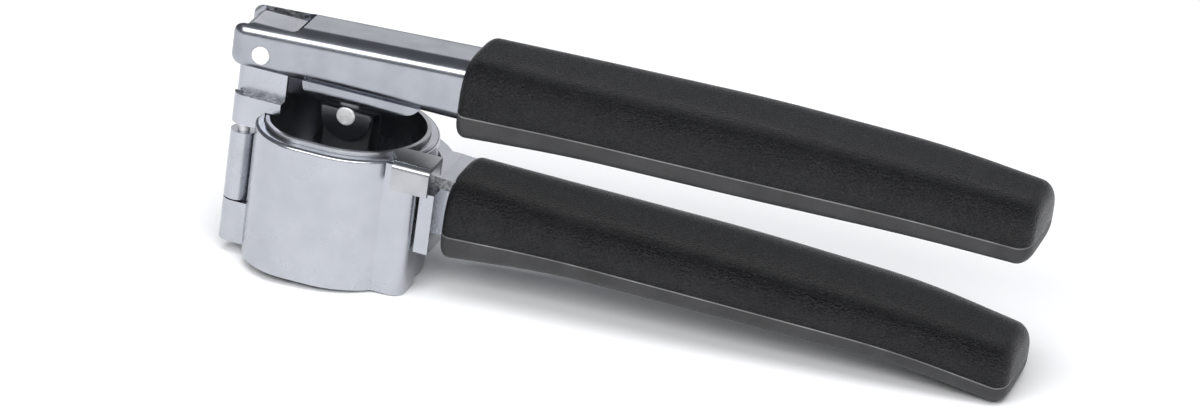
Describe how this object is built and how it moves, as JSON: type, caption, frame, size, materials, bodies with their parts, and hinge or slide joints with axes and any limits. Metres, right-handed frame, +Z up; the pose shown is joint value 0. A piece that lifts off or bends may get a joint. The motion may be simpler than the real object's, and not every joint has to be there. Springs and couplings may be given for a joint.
{
  "type": "garlic press",
  "caption": "Lever garlic press with a round cup, drop-in sieve with a latch hook, swing-out lower handle and black moulded grips.",
  "frame": {"origin": "Centre of the bounding box's bottom, on the plane that the press stands on.", "axes": "X runs along the handles towards the grips' ends, Y across them towards the back, and Z up. The press stands on the edge of its cup and on the end of its lower grip, so the cup's axis leans about 3.9 degrees towards +X."},
  "size_m": [0.173, 0.0408, 0.053],
  "materials": {
    "satin_steel": "satin nickel-chrome plate on folded steel sheet",
    "sieve_steel": "thin rolled steel sheet with fine brush lines",
    "rivet_steel": "bright turned steel",
    "dark_steel": "plated steel with darker shaded faces",
    "black_grip": "black moulded plastic with a fine leathery grain"
  },
  "bodies": {
    "hopper": {"hopper_shell": "satin_steel", "pivot_bracket": "satin_steel", "sieve_insert": "sieve_steel", "pivot_rivet": "rivet_steel", "hinge_pin": "rivet_steel"},
    "lower_handle": {"lower_frame": "satin_steel", "lower_grip": "black_grip"},
    "upper_handle": {"upper_lever": "satin_steel", "upper_grip": "black_grip", "plunger_rivet": "rivet_steel"},
    "plunger": {"plunger_stem": "dark_steel", "plunger_plate": "dark_steel", "plate_stud": "rivet_steel"}
  },
  "joints": [
    {"name": "lever_hinge", "type": "hinge", "parent": "hopper", "child": "upper_handle", "pos_m": [-0.07854, -0.0021, 0.04466], "axis": [0, -1, 0], "range_deg": [0, 57]},
    {"name": "plunger_hinge", "type": "hinge", "parent": "upper_handle", "child": "plunger", "pos_m": [-0.06022, -0.0021, 0.034], "axis": [0, -1, 0], "range_deg": [-57.5, 0.5]},
    {"name": "handle_swing", "type": "hinge", "parent": "hopper", "child": "lower_handle", "pos_m": [-0.08314, -0.0073, 0.01219], "axis": [0.0672, 0, 0.9977], "range_deg": [0, 100]}
  ],
  "couplings": [
    {"joint": "plunger_hinge", "follows": "lever_hinge", "ratio": -1}
  ]
}
